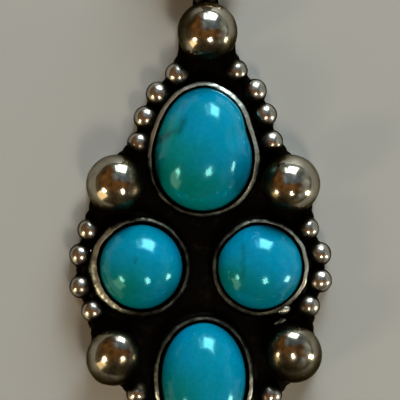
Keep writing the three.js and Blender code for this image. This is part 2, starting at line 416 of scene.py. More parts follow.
# %% Sheet, balls and granules
# The sheet is matt and blackest, the large balls have the mirror polish, and the granules, which the
# wheel hardly reaches one by one, are in between.
blackened_sheet = buffed_silver("blackened_sterling_sheet", bright="A59E90", film="6B6152",
                                oxide="100E0B", rough=(0.3, 0.36, 0.42), grain=0.8, scratches=0.12)
buffed_shot = buffed_silver("buffed_sterling_shot", bright="B4AD9E", film="665F4D", oxide="2A2319",
                            rough=(0.05, 0.14, 0.28), grain=1.3, blotches=0.9)
tumbled_shot = buffed_silver("tumbled_sterling_granules", bright="C2BDB4", film="564F46",
                             oxide="1E1A14", rough=(0.15, 0.28, 0.42), grain=0.8, blotches=0.8)
print("finishes:", blackened_sheet.name, buffed_shot.name, tumbled_shot.name)

# %% [markdown]
# ## Back plate
#
# The plate is sawn from sheet silver 0.8 mm thick, close round the outside of the balls, after they
# are soldered on. So its outline follows them: it could be drawn by hand, but it is worked out here
# from the same tables as the balls, as the edge of a row of discs. The sawn edge is filed round.

# %% Places of the shot
SHEET = 0.8  # thickness of the back plate, and so the height on which everything is soldered

# The large balls. lean says how far a ball's top stands over along X and Y, for each mm of height,
# painted_dark the directions, in degrees from +X, of the sides that are painted darker, as painted
# dark reflections of the blackened plate, the bezels and the shade round the pendant, and polish a
# share by which all of a ball's buffing is scaled, which makes the lower balls' reflections darker.
BALLS = [
    {"x": 0.46, "y": 16.68, "radius": 2.15, "painted_dark": [165, 300], "polish": 1.0},
    {"x": -6.09, "y": 5.82, "radius": 2.11, "lean": (0.12, 0.05), "painted_dark": [350, 310],
     "polish": 0.9},
    {"x": -6.2, "y": -6.54, "radius": 1.98, "lean": (0.2, 0.28), "painted_dark": [0, 315], "polish": 0.8},
    {"x": 0.2, "y": -16.6, "radius": 2.1, "painted_dark": [90], "polish": 0.9},
    {"x": 6.6, "y": -6.28, "radius": 2.03, "lean": (-0.14, 0.26), "painted_dark": [190, 250],
     "polish": 0.8},
    {"x": 6.41, "y": 5.85, "radius": 2.1, "lean": (-0.1, -0.04), "painted_dark": [185, 235],
     "polish": 1.0},
]

# The small balls, arc by arc: x, y and radius of each.
UPPER_LEFT = [(-1.64, 13.71, 0.92), (-3.07, 12.31, 0.9), (-3.96, 10.61, 0.88), (-4.41, 8.77, 0.89)]
LEFT = [(-8.02, 2.55, 0.85), (-8.64, 0.77, 0.83), (-8.61, -1.51, 0.84), (-7.75, -3.21, 0.86)]
RIGHT = [(7.66, -2.86, 0.87), (8.53, -1.07, 0.87), (8.49, 0.86, 0.86), (7.61, 2.66, 0.87)]
UPPER_RIGHT = [(5.03, 8.87, 0.87), (4.59, 10.81, 0.87), (3.86, 12.54, 0.87), (2.49, 13.96, 0.86)]
CROWN = {"x": 0.29, "y": 19.35, "radius": 0.86}
LOWER_SHIFT = (-0.08, -0.35)  # the lower arcs mirror the upper ones, a little lower down


def arc_of(balls, mirrored=False):
    """A dictionary for each small ball of an arc, or of its mirror image in the lower half."""
    if mirrored:
        balls = [(x + LOWER_SHIFT[0], LOWER_SHIFT[1] - y, r) for x, y, r in reversed(balls)]
    return [{"x": x, "y": y, "radius": r} for x, y, r in balls]


# Anticlockwise from the top, each arc follows the large ball of the same number.
arcs = [arc_of(UPPER_LEFT), arc_of(LEFT), arc_of(UPPER_LEFT, mirrored=True),
        arc_of(UPPER_RIGHT, mirrored=True), arc_of(RIGHT), arc_of(UPPER_RIGHT)]
edging = [ball for large, arc in zip(BALLS, arcs) for ball in (large, *arc)]
granules = [ball for arc in arcs for ball in arc] + [CROWN]
print(len(BALLS), "large balls and", len(granules), "small ones")

# %% Outline of the plate
PLATE_INSET = 0.08  # the plate's edge stands this far inside the edging's outline
NOTCH_DEPTH = 0.35  # how much further in it stands between two balls


def mix(a, b, share):
    """The number at a share of the way from a to b."""
    return a + (b - a) * share


def plate_discs():
    """A disc under each ball and three between neighbours, as (x, y, radius) in mm."""
    discs = [(CROWN["x"], CROWN["y"], CROWN["radius"] + PLATE_INSET)]
    for ball, after in zip(edging, edging[1:] + edging[:1]):
        for share in (0, 0.25, 0.5, 0.75):
            inset = PLATE_INSET + NOTCH_DEPTH * math.sin(math.pi * share)
            x, y, radius = (mix(ball[key], after[key], share) for key in ("x", "y", "radius"))
            discs.append((x, y, radius - inset))
    return discs


def plate_reach(discs, angle):
    """How far the plate reaches from the origin in one direction, in mm."""
    c, s = math.cos(angle), math.sin(angle)
    return max(x * c + y * s + math.sqrt(r * r - (y * c - x * s) ** 2)
               for x, y, r in discs if abs(y * c - x * s) < r)


print("the plate reaches", round(plate_reach(plate_discs(), math.pi / 2), 2), "mm up")

# %% Plate
PLATE_AROUND = 720
EDGE_ROUND = 0.14  # mm
ROUND_MIDDLE = 0.3  # how far the middle of a rounding of radius 1 lies inside its two sides
FILE_MARKS = 0.02  # mm, how uneven the filed edge is
FILE_MARKS_PER_MM = 2.5  # along the edge, and four times as many up it
SHEET_WAVES = 0.03  # mm, how far the top is off level after soldering
SHEET_WAVES_PER_MM = 0.9
FACE_RINGS = (0.93, 0.87, 0.8, 0.7, 0.6, 0.5, 0.4, 0.3, 0.2, 0.1)  # shares of the plate's reach


def plate_mesh():
    """The plate as rings of vertices: up from the middle of its back to that of its top."""
    discs = plate_discs()
    around = [(angle, plate_reach(discs, angle)) for angle in angles_round(PLATE_AROUND)]
    # Insets and heights of the rings up the edge. Those of both faces are at shares of the reach.
    off = EDGE_ROUND * ROUND_MIDDLE
    edge = [(EDGE_ROUND, 0.0), (off, off), (0.0, EDGE_ROUND), (0.0, SHEET / 2),
            (0.0, SHEET - EDGE_ROUND), (off, SHEET - off), (EDGE_ROUND, SHEET)]
    vertices = [Vector((*polar(share * reach, angle), 0.0)) * MM
                for share in reversed(FACE_RINGS) for angle, reach in around]
    for inset, z in edge:
        for angle, reach in around:
            marks = noise.noise(Vector((*polar(reach, angle), 4 * z)) * FILE_MARKS_PER_MM)
            out = reach - inset + FILE_MARKS * marks - FILE_MARKS
            vertices.append(Vector((*polar(out, angle), z)) * MM)
    for share in FACE_RINGS:
        for angle, reach in around:
            x, y = polar(share * reach, angle)
            waves = noise.noise(Vector((x, y, 0)) * SHEET_WAVES_PER_MM)
            vertices.append(Vector((x, y, SHEET + SHEET_WAVES * (waves - 0.5))) * MM)
    return vertices, capped(vertices, len(edge) + 2 * len(FACE_RINGS), PLATE_AROUND)


keep("back_plate", piece_from("back_plate", *plate_mesh(), blackened_sheet))

# %% [markdown]
# ## Bezels
#
# A bezel is a strip of thin fine silver bent round the stone, soldered at a seam, soldered down to
# the plate, and rubbed over the stone's edge with a burnisher. A bevelled cylinder would be too
# perfect: the hand leaves the rim's width and height a little uneven, and one bezel leans. So each
# is a profile swept along the stone's own outline by Geometry Nodes, drawn wider here and there,
# then pushed about by noise that grows with height, which leaves the soldered foot where it is.

# %% Bezel finish
burnished_bezel = buffed_silver("burnished_fine_silver", bright="BDC2B8", film="6A6C62",
                                oxide="1D1A15", rough=(0.3, 0.4, 0.5), grain=0.9, scratches=0.08,
                                blotches=0.9)
print("finish:", burnished_bezel.name)

# %% Sizes of the stones
# The stones and their bezels. half_x and half_y are half the width and length of the bezel's rim,
# stone_x and stone_y the same of the stone. egg narrows the top end, or widens it where negative.
# flare is how far the bezel's foot stands out beyond its rim, and dome the height of the stone's
# crown. dents push the outline in, as (angle in degrees from +X, depth in mm, spread in degrees),
# and in the same form rim_wider says where the rim is wider, and buffed_more where
# the rim is painted lighter, as painted highlights, and where it is painted darker, as painted
# shade. lean and bezel_lean say how far the dome and the bezel stand over for each mm of height,
# and twist how far the dome's two ends stand over, to opposite sides.
STONES = {
    "top": {"x": 0.17, "y": 8.35, "half_x": 4.03, "half_y": 4.84, "stone_x": 3.5, "stone_y": 4.42,
            "egg": 0.15, "flare": 0.12, "dome": 3.3, "dents": [(20, 0.13, 15), (48, -0.08, 14)],
            "lean": (0.02, 0.0), "twist": 0.2,
            "rim_wider": [(60, 0.06, 30), (342, 0.12, 28), (225, -0.12, 30), (270, -0.12, 40)],
            "buffed_more": [(335, 0.8, 25), (5, 0.3, 20)]},
    "left": {"x": -4.3, "y": -0.07, "half_x": 3.54, "half_y": 3.54, "stone_x": 2.97,
             "stone_y": 3.03, "egg": 0.0, "flare": 0.3, "dome": 2.7, "dents": [],
             "bezel_lean": (0.11, 0.04), "lean": (0.03, 0.0), "twist": 0.0,
             "rim_wider": [(195, 0.3, 45), (20, -0.14, 50), (130, 0.1, 20)],
             "buffed_more": [(90, -0.5, 20), (180, -0.5, 18), (270, -0.9, 22)]},
    "right": {"x": 4.24, "y": -0.09, "half_x": 3.47, "half_y": 3.47, "stone_x": 3.03,
              "stone_y": 3.03, "egg": 0.0, "flare": 0.12, "dome": 2.7, "dents": [(135, 0.1, 18)],
              "lean": (-0.06, 0.0), "twist": 0.0,
              "rim_wider": [(150, -0.1, 40), (305, 0.12, 16)],
              "buffed_more": [(275, -0.5, 30), (310, -0.5, 25)]},
    "bottom": {"x": 0.19, "y": -8.36, "half_x": 3.58, "half_y": 4.77, "stone_x": 3.02,
               "stone_y": 4.33, "egg": -0.075, "flare": 0.12, "dome": 2.9, "dents": [],
               "lean": (0.0, 0.0), "twist": 0.0,
               "rim_wider": [(90, -0.08, 40)],
               "buffed_more": [(30, 0.4, 15), (150, 0.4, 15), (180, -0.3, 15)]},
}

for name, stone in STONES.items():
    print(f"{name}: {2 * stone['stone_x']:.1f} by {2 * stone['stone_y']:.1f} mm")

# %% Outlines of the stones
def swelling(swells, angle):
    """The sum at one angle of swells round an outline, each (angle in degrees, height, spread)."""
    total = 0.0
    for at, height, spread in swells:
        off = (math.degrees(angle) - at + 180) % 360 - 180
        total += height * math.exp(-((off / spread) ** 2))
    return total


def outline_reach(stone, half_x, half_y, angle):
    """The distance in mm from a stone's middle to its edge, in one direction."""
    egg = stone["egg"]
    widest = math.sqrt(1 - egg ** 2) * (1 + egg ** 2)  # keeps the egg as wide as half_x says
    reach = 1 / math.hypot(math.cos(angle) / half_x, math.sin(angle) / half_y)
    narrowing = (1 - egg * reach * math.sin(angle) / half_y) / widest
    reach *= math.hypot(math.cos(angle) * narrowing, math.sin(angle))
    return reach - swelling(stone["dents"], angle)


def outline_points(stone, half_x, half_y, around):
    """Points round an outline, anticlockwise from +X, as (x, y) in mm."""
    return [polar(outline_reach(stone, half_x, half_y, angle), angle, stone["x"], stone["y"])
            for angle in angles_round(around)]


for name, stone in STONES.items():
    up = outline_reach(stone, stone["half_x"], stone["half_y"], math.pi / 2)
    print(f"the {name} bezel reaches {up:.2f} mm up from its middle")

# %% Loops, and what grows from them
def loop_object(name, points, spread=None):
    """A closed loop of edges in metres, to be swept along, or swept as a profile.

    spread has a vector for each point: how much wider the swept strip is there, and to which side.
    """
    mesh = bpy.data.meshes.new(name)
    edges = [(i, (i + 1) % len(points)) for i in range(len(points))]
    mesh.from_pydata([Vector(p) * MM for p in points], edges, [])
    if spread:
        write_attribute(mesh, "spread", [v * MM for vector in spread for v in vector])
    return placed(name, mesh)


def grown(source, name, tree, **inputs):
    """The plain mesh that a Geometry Nodes tree makes of source.

    inputs has the modifier's inputs by name, with _ for each space, and each is set by its socket's
    identifier. Source, and any object among the inputs, is used up.
    """
    modifier = source.modifiers.new(tree.name, "NODES")
    modifier.node_group = tree
    for socket in tree.interface.items_tree:
        label = socket.name.replace(" ", "_")
        if socket.in_out == "INPUT" and label in inputs:
            modifier[socket.identifier] = inputs[label]
    depsgraph = bpy.context.evaluated_depsgraph_get()
    mesh = bpy.data.meshes.new_from_object(source.evaluated_get(depsgraph), depsgraph=depsgraph)
    source.modifiers.remove(modifier)
    mesh.name = name
    for used in (source, *inputs.values()):
        if isinstance(used, bpy.types.Object):
            bpy.data.objects.remove(used)
    return placed(name, mesh)


print("a loop is in metres, and what grows from it is a plain mesh")

# %% First and last steps of a tree
def sockets(tree, **kinds):
    """Gives a tree a geometry input and output, and a named input of each kind given."""
    tree.interface.new_socket("Geometry", in_out="OUTPUT", socket_type="NodeSocketGeometry")
    for label, kind in {"Geometry": "Geometry", **kinds}.items():
        tree.interface.new_socket(label.replace("_", " "), in_out="INPUT",
                                  socket_type=f"NodeSocket{kind}")
    return add(tree, "NodeGroupInput").outputs


def off_true(tree, pattern, amount):
    """Turns a pattern's colour into a push any way, of up to half of amount along each axis."""
    centred = add(tree, "ShaderNodeVectorMath", {"operation": "SUBTRACT",
                  0: pattern.outputs["Color"], 1: (0.5, 0.5, 0.5)})
    return add(tree, "ShaderNodeVectorMath", {"operation": "SCALE", 0: centred, "Scale": amount})


def last_steps(tree, geometry, offset, finish):
    """Ends a tree: its points are pushed, and the result is made smooth and real and finished."""
    pushed = add(tree, "GeometryNodeSetPosition", {0: geometry, "Offset": offset})
    smooth = add(tree, "GeometryNodeSetShadeSmooth", {0: pushed})
    real = add(tree, "GeometryNodeRealizeInstances", {0: smooth})
    finished = add(tree, "GeometryNodeSetMaterial", {0: real, "Material": finish})
    add(tree, "NodeGroupOutput", {0: finished})


print("each tree starts with its named inputs, and ends real and finished")

# %% Tree: a strip swept along a loop
def swept_strip():
    """Sweeps a profile along a loop, and makes it uneven by noise that grows with height."""
    tree = bpy.data.node_groups.new("swept_strip", "GeometryNodeTree")
    given = sockets(tree, Profile="Object", Foot="Float", Uneven="Float", Wave="Float",
                    Lean="Vector", Rim="Float", Slope="Float", Seed="Float", Finish="Material")
    path = add(tree, "GeometryNodeMeshToCurve", {0: given["Geometry"]})
    level = add(tree, "GeometryNodeSetCurveNormal", {"mode": "Z_UP", 0: path})
    section = add(tree, "GeometryNodeObjectInfo", {0: given["Profile"]}).outputs["Geometry"]
    profile = add(tree, "GeometryNodeMeshToCurve", {0: section})
    strip = add(tree, "GeometryNodeCurveToMesh", {0: level, 1: profile})
    place = add(tree, "GeometryNodeInputPosition")
    waves = add(tree, "ShaderNodeTexNoise", {"noise_dimensions": "4D", "Vector": place,
                "W": given["Seed"], "Scale": given["Wave"], "Detail": 4.0, "Roughness": 0.6})
    height = add(tree, "ShaderNodeSeparateXYZ", {0: place}).outputs["Z"]
    above = add(tree, "ShaderNodeMath", {"operation": "SUBTRACT", 0: height, 1: given["Foot"]})
    askew = add(tree, "ShaderNodeVectorMath", {"operation": "ADD",
                0: off_true(tree, waves, given["Uneven"]), 1: given["Lean"]})
    push = add(tree, "ShaderNodeVectorMath", {"operation": "SCALE", 0: askew, "Scale": above})
    # Where the strip is to be wider, its sloping rim is drawn out to both sides.
    wider = add(tree, "GeometryNodeInputNamedAttribute", {"data_type": "FLOAT_VECTOR",
                "Name": "spread"})
    shoulder = add(tree, "ShaderNodeMath", {"operation": "SUBTRACT", 0: given["Rim"],
                   1: given["Slope"]})
    below = add(tree, "ShaderNodeMapRange", {"Value": height, "From Min": given["Rim"],
                "From Max": shoulder, "To Min": -0.5, "To Max": 0.5})
    drawn = add(tree, "ShaderNodeVectorMath", {"operation": "SCALE", 0: wider, "Scale": below})
    moved = add(tree, "ShaderNodeVectorMath", {"operation": "ADD", 0: push, 1: drawn})
    last_steps(tree, strip, moved, given["Finish"])
    return tree


strip_tree = swept_strip()
print("tree:", strip_tree.name, len(strip_tree.nodes), "nodes")

# %% Section of a bezel
WALL = 0.32  # thickness of a bezel's wall
RIM = SHEET + 1.55  # height of a bezel's rim above the pendant's back
RIM_SLOPES = (12, 47)  # degrees off level, at the burnished rim's inner and its outer edge
RIM_STEPS = 6
RIM_EDGE = 0.05  # rounding of the rim's inner edge
WALL_RINGS = (0.2, 0.4, 0.6, 0.75, 0.87, 0.95, 1.0)  # down the wall, as shares of its height
FLARE_CURVE = 2.2  # the higher, the nearer to its foot the wall flares out
SOLDER_JOIN = 0.15  # how deep a bezel runs into the plate
SOLDER_RISE = 0.06  # how high the solder round its foot stands on the plate
SOLDER_RUN = 0.14  # how far that solder runs out
SOLDER_DIP = 0.01  # how deep the solder's outer edge lies in the plate


def bezel_profile(flare):
    """A bezel's section as (out, down), anticlockwise: down the outside, in, and up the inside."""
    off = RIM_EDGE * ROUND_MIDDLE
    rim = [(-WALL, RIM - 2 * RIM_EDGE), (off - WALL, RIM - off), (RIM_EDGE - WALL, RIM)]
    across = (WALL - RIM_EDGE) / RIM_STEPS
    for i in range(RIM_STEPS):
        slope = math.radians(mix(*RIM_SLOPES, (i + 0.5) / RIM_STEPS))
        rim.append((rim[-1][0] + across, rim[-1][1] - across * math.tan(slope)))
    wall = [(flare * share ** FLARE_CURVE, mix(rim[-1][1], SHEET + SOLDER_RISE, share))
            for share in WALL_RINGS]
    foot = SHEET - SOLDER_JOIN
    solder = [(flare + SOLDER_RUN, SHEET - SOLDER_DIP), (flare + SOLDER_RUN, foot), (-WALL, foot)]
    return [(out, -z, 0) for out, z in rim + wall + solder]


print("a bezel's section has", len(bezel_profile(0)), "points")

# %% Bezels
BEZEL_AROUND = 320
RIM_UNEVEN = 0.22  # how far the rim wanders, for each mm of height
WAVE = 1.6  # mm, the length of one wander
RIM_DEPTH = 0.3  # how far below the rim's inner edge a wider place has its whole width


def bezel_spread(stone):
    """How much wider the rim is at each point of the path, as vectors that point outwards."""
    return [(*polar(swelling(stone["rim_wider"], angle), angle), 0)
            for angle in angles_round(BEZEL_AROUND)]


for number, (name, stone) in enumerate(STONES.items()):
    lean = Vector((*stone.get("bezel_lean", (0, 0)), 0))
    foot = lean * (SHEET - RIM)  # where the foot stands, for the rim to be in its place
    outline = outline_points(stone, stone["half_x"], stone["half_y"], BEZEL_AROUND)
    path = loop_object("path", [Vector((*p, 0)) + foot for p in outline], bezel_spread(stone))
    profile = loop_object("profile", bezel_profile(stone["flare"]))
    bezel = grown(path, "bezel_" + name, strip_tree, Profile=profile, Foot=SHEET * MM,
                  Uneven=RIM_UNEVEN, Wave=per_mm(WAVE), Lean=lean, Rim=RIM * MM,
                  Slope=RIM_DEPTH * MM, Seed=float(number), Finish=burnished_bezel)
    keep("bezel_" + name, bezel)

# %% [markdown]
# ## Shot
#
# Shot is made by melting snippets of silver wire on charcoal: each snippet draws itself into a ball.
# The balls are set on the plate with flux and solder, which runs into a small fillet under each. The
# round template below has that fillet. A Geometry Nodes tree puts one on each point of a list, at
# the point's own size, turned at random, leaned over where a ball stands askew, and dented a little.

# %% A ball on its fillet
FILLET = 0.1  # radius of the solder's fillet, as a share of the ball's radius
FILLET_STEPS = 5


def shot_template(sink, around, down):
    """A ball of radius 1 that stands on z = 0, sunk by a share of its radius, with its fillet."""
    centre = 1 - sink
    out = math.sqrt((1 + FILLET) ** 2 - (centre - FILLET) ** 2)  # where the fillet meets the plate
    touch = Vector((out, 0, FILLET - centre)).normalized()  # where it leaves the ball
    lowest = math.asin(touch.z)
    turn = math.atan2(-touch.z, -touch.x)  # direction from the fillet's middle to that point
    profile = [(out, -sink), (out, 0.0)]
    profile += [polar(FILLET, mix(3 * math.pi / 2, turn, i / FILLET_STEPS), out, FILLET)
                for i in range(1, FILLET_STEPS + 1)]
    profile += [polar(1, mix(lowest, math.pi / 2, i / down), 0, centre) for i in range(1, down)]
    vertices = [Vector((*polar(r, angle), z)) for r, z in profile for angle in angles_round(around)]
    faces = capped(vertices, len(profile), around)
    vertices[-1].z = centre + 1  # the fan's middle is the ball's very top
    return piece_from("template", vertices, faces, None)


def shot_points(balls):
    """A point under each ball, on the plate, with its radius and lean."""
    mesh = bpy.data.meshes.new("points")
    mesh.from_pydata([Vector((b["x"], b["y"], SHEET)) * MM for b in balls], [], [])
    write_attribute(mesh, "radius", [b["radius"] * MM for b in balls])
    write_attribute(mesh, "lean", [v for b in balls for v in (*b.get("lean", (0, 0)), 0)])
    return placed("points", mesh)


print("each granule's fillet is about", round(FILLET * CROWN["radius"], 2), "mm")

# %% Tree: shot on points
def shot_on_points():
    """Sets a template on each point, at its radius, turned, leaned and slightly dented."""
    tree = bpy.data.node_groups.new("shot_on_points", "GeometryNodeTree")
    given = sockets(tree, Template="Object", Sheet="Float", Sink="Float", Dent="Float",
                    Dent_scale="Float", Seed="Int", Finish="Material")
    template = add(tree, "GeometryNodeObjectInfo", {0: given["Template"]}).outputs["Geometry"]
    radius = add(tree, "GeometryNodeInputNamedAttribute", {"data_type": "FLOAT", "Name": "radius"})
    lean = add(tree, "GeometryNodeInputNamedAttribute", {"data_type": "FLOAT_VECTOR",
               "Name": "lean"})
    turn = add(tree, "FunctionNodeRandomValue", {"data_type": "FLOAT_VECTOR",
               "Max": (0.0, 0.0, 2 * math.pi), "Seed": given["Seed"]})
    set_on = add(tree, "GeometryNodeInstanceOnPoints", {"Points": given["Geometry"],
                 "Instance": template, "Rotation": turn, "Scale": radius})
    # The balls are made real already here, because the points of an instance can't be pushed.
    balls = add(tree, "GeometryNodeRealizeInstances", {0: set_on})
    # A ball's middle stands at sheet + radius * (1 - sink), and the ball leans about it.
    place = add(tree, "GeometryNodeInputPosition")
    height = add(tree, "ShaderNodeSeparateXYZ", {0: place}).outputs["Z"]
    lift = add(tree, "ShaderNodeMath", {"operation": "SUBTRACT", 0: 1.0, 1: given["Sink"]})
    middle = add(tree, "ShaderNodeMath", {"operation": "MULTIPLY_ADD", 0: radius, 1: lift,
                 2: given["Sheet"]})
    above = add(tree, "ShaderNodeMath", {"operation": "SUBTRACT", 0: height, 1: middle})
    leaned = add(tree, "ShaderNodeVectorMath", {"operation": "SCALE", 0: lean, "Scale": above})
    dents = add(tree, "ShaderNodeTexNoise", {"Vector": place, "Scale": given["Dent scale"],
                "Detail": 1.5})
    moved = add(tree, "ShaderNodeVectorMath", {"operation": "ADD", 0: leaned,
                1: off_true(tree, dents, given["Dent"])})
    last_steps(tree, balls, moved, given["Finish"])
    return tree


shot_tree = shot_on_points()
print("tree:", shot_tree.name, len(shot_tree.nodes), "nodes")

# %% Balls and granules
# sink is how deep a ball of the usual radius is sunk into the plate, for its solder to hold it, in
# mm. dent and dent_width say how uneven a ball is and how wide its dents are, in mm, and around and
# down how many vertices it has each way.
SHOT = {
    "large_balls": {"balls": BALLS, "sink": 0.25, "usual": 2.1, "around": 64, "down": 30,
                    "dent": 0.08, "dent_width": 1.4, "seed": 3, "finish": buffed_shot},
    "granules": {"balls": granules, "sink": 0.12, "usual": 0.87, "around": 36, "down": 18,
                 "dent": 0.09, "dent_width": 1.1, "seed": 8, "finish": tumbled_shot},
}

for name, facts in SHOT.items():
    sink = facts["sink"] / facts["usual"]
    template = shot_template(sink, facts["around"], facts["down"])
    shot = grown(shot_points(facts["balls"]), name, shot_tree, Template=template, Sheet=SHEET * MM,
                 Sink=sink, Dent=facts["dent"] * MM, Dent_scale=per_mm(facts["dent_width"]),
                 Seed=facts["seed"], Finish=facts["finish"])
    keep(name, shot)

# %% [markdown]
# ## Solder
#
# A few lumps of solder stayed where the torch left them: one between a small ball and the left
# bezel, one on the rim of the right bezel, at its seam, and one drawn out on the plate below that.
# Solder has no shape of its own, so each is a ball that is stretched, turned and made uneven by
# noise.

# %% Solder beads
# Each lump's middle, its half sizes along, across and up, and which way it lies in degrees from +X.
SOLDER_BEADS = [
    {"at": (-7.93, 0.93, 1.5), "size": (0.3, 0.3, 0.3), "turn": 0},
    {"at": (5.93, -3.12, 2.0), "size": (0.5, 0.36, 0.34), "turn": 30},
    {"at": (5.66, -4.02, 1.05), "size": (0.5, 0.22, 0.26), "turn": 25},
]
BEAD_SUBDIVISIONS = 4
BEAD_UNEVEN = 0.3  # how far a bead's hollows fall short of its size, as a share of it
BEAD_LUMPS = 1.3  # hollows and bumps in half of its width


def bead_mesh(beads):
    """Balls that are stretched, turned and made uneven by noise, as one mesh."""
    shape = bmesh.new()
    for bead in beads:
        ball = bmesh.ops.create_icosphere(shape, subdivisions=BEAD_SUBDIVISIONS, radius=1.0)
        centre = Vector(bead["at"])
        for vertex in ball["verts"]:
            lump = 1 - BEAD_UNEVEN * abs(noise.noise(vertex.co * BEAD_LUMPS + centre))
            sized = Vector(a * b for a, b in zip(vertex.co * lump, bead["size"]))
            sized.rotate(Euler((0, 0, math.radians(bead["turn"]))))
            vertex.co = (centre + sized) * MM
    vertices = [v.co.copy() for v in shape.verts]
    faces = [[v.index for v in f.verts] for f in shape.faces]
    shape.free()
    return vertices, faces


keep("solder_beads", piece_from("solder_beads", *bead_mesh(SOLDER_BEADS), burnished_bezel))

# %% [markdown]
# ## Eye and bail
#
# The eye is a length of round wire bent to an oval and soldered under the top small ball. The bail
# is a tapered strip, bent through the eye and back, with its ends soldered together behind. Both
# follow a path, so both are sections swept along one: the wire by the tree that made the bezels,
# and the strip by rings worked out here, because its width changes as it goes.

# %% Bail finish
polished_sheet = buffed_silver("polished_sterling_strip", bright="CBC8C0", film="8E8474",
                               oxide="3A332B", rough=(0.16, 0.25, 0.34), grain=1.2, scratches=0.1)
print("finish:", polished_sheet.name)

# %% Eye
EYE = {"x": 0.29, "y": 21.15, "z": 1.4, "wire": 0.45, "bend": 1.25, "straight": 1.1}
BEND_STEPS = 24  # in each half circle of the eye, and round its wire
EYE_RUN = (0.4, 0.8, 1.2, 1.6)  # along each straight side, as shares of half of it


def eye_path():
    """The middle of the eye's wire: two half circles joined by straight stretches."""
    points = []
    for side in (1, -1):
        middle = EYE["x"] + side * EYE["straight"]
        for i in range(BEND_STEPS + 1):
            angle = math.pi * (i / BEND_STEPS - 0.5) + (0 if side > 0 else math.pi)
            points.append((*polar(EYE["bend"], angle, middle, EYE["y"]), EYE["z"]))
        points.extend((EYE["x"] + side * EYE["straight"] * (1 - share),
                       EYE["y"] + side * EYE["bend"], EYE["z"]) for share in EYE_RUN)
    return points


wire = loop_object("profile", [(*polar(EYE["wire"], t), 0) for t in angles_round(BEND_STEPS)])
keep("eye", grown(loop_object("path", eye_path()), "eye", strip_tree, Profile=wire,
                  Foot=SHEET * MM, Uneven=0.05, Wave=per_mm(1.5), Seed=7.0, Finish=buffed_shot))

# %% The bail's side view
STRIP = 0.65  # thickness of the bail's strip
BAIL_GAP = 0.3  # between the bail and the eye's wire
BAIL_HOLE = 4.4  # height of the hole at its far end
BAIL_LENGTH = 7.2  # from the eye's wire to the middle of the far bend
BAIL_LEVEL = 3.4  # how much of that the top run stays level
BAIL_KNEE = 3.0  # radius of the bend where the top run starts to slope
BAIL_WIDTH = (2.5, 4.4)  # at the eye and at the far bend
BAIL_STEP = 0.3  # the length of one step along the strip


def bail_side():
    """Points along the middle of the strip, as (y, z) in mm from the eye's wire."""
    near_radius = EYE["wire"] + BAIL_GAP + STRIP / 2
    far_radius = BAIL_HOLE / 2 + STRIP / 2
    far_z = STRIP + BAIL_HOLE / 2
    top = far_z + far_radius
    level = BAIL_LENGTH - BAIL_LEVEL
    slope = math.atan2(top - EYE["z"] - near_radius, level)
    knee = (level + BAIL_KNEE * math.tan(slope / 2), top - BAIL_KNEE)  # middle of the knee's bend
    up = math.pi / 2  # the direction of +Z in this view
    across = up + slope  # the direction in which the sloping run's outer face looks
    stretches = [
        ("bend", (BAIL_LENGTH, far_z), far_radius, -up, up),
        ("run", (BAIL_LENGTH, top), (knee[0], top)),
        ("bend", knee, BAIL_KNEE, up, across),
        ("run", polar(BAIL_KNEE, across, *knee), polar(near_radius, across, 0, EYE["z"])),
        ("bend", (0, EYE["z"]), near_radius, across, 3 * up),
        ("run", (0, STRIP / 2), (BAIL_LENGTH, STRIP / 2)),
    ]
    points = []
    for kind, *facts in stretches:
        if kind == "bend":
            middle, radius, start, end = facts
            count = max(2, round(abs(end - start) * radius / BAIL_STEP))
            points += [polar(radius, mix(start, end, i / count), *middle) for i in range(count)]
        else:
            (y0, z0), (y1, z1) = facts
            count = max(2, round(math.hypot(y1 - y0, z1 - z0) / BAIL_STEP))
            points += [(mix(y0, y1, i / count), mix(z0, z1, i / count)) for i in range(count)]
    return points


print("the strip is", len(bail_side()), "steps round")

# %% Section of the strip
STRIP_ROUND = 0.2  # rounding of the strip's long edges
STRIP_ACROSS = 8  # faces across each side of the strip
CORNER_STEPS = 4


def strip_section(width):
    """The strip's section as (across, out): anticlockwise, with round corners."""
    section = []
    half, deep = width / 2 - STRIP_ROUND, STRIP / 2 - STRIP_ROUND
    for x, y, start in ((half, deep, 0), (-half, deep, 90), (-half, -deep, 180), (half, -deep, 270)):
        section += [polar(STRIP_ROUND, math.radians(start + 90 * i / CORNER_STEPS), x, y)
                    for i in range(CORNER_STEPS + 1)]
        if start in (0, 180):
            step = -2 * x / STRIP_ACROSS
            section += [(x + step * i, y + math.copysign(STRIP_ROUND, y))
                        for i in range(1, STRIP_ACROSS)]
    return section


print("the strip's section has", len(strip_section(BAIL_WIDTH[0])), "points")

# %% Bail
STRIP_CROWN = 0.06  # how much the strip is domed across
HAMMERED = 0.05  # how far the bending and hammering leave it off true
HAMMERED_PER_MM = 0.6


def smooth_share(value):
    """A share of 0 to 1 whose change starts and ends softly."""
    value = min(max(value, 0), 1)
    return value * value * (3 - 2 * value)


def bail_mesh():
    """The bail as a closed row of sections, each square to the strip's middle line."""
    side = bail_side()
    vertices = []
    for i, (y, z) in enumerate(side):
        before, after = side[i - 1], side[(i + 1) % len(side)]
        along = Vector((after[0] - before[0], after[1] - before[1])).normalized()
        out = Vector((along.y, -along.x))  # the path runs anticlockwise, so this points outwards
        width = mix(*BAIL_WIDTH, smooth_share(y / BAIL_LENGTH))
        section = strip_section(width)
        for across, deep in section:
            hollow = STRIP_CROWN * (2 * across / width) ** 2
            hand = HAMMERED * noise.noise(Vector((across, y, z)) * HAMMERED_PER_MM)
            rise = deep - hollow + hand
            vertices.append(Vector((EYE["x"] + across, EYE["y"] + EYE["bend"] + y + out.x * rise,
                                    max(0.0, z + out.y * rise))) * MM)
    return vertices, ring_faces(len(side), len(section), closed=True)


keep("bail", piece_from("bail", *bail_mesh(), polished_sheet))
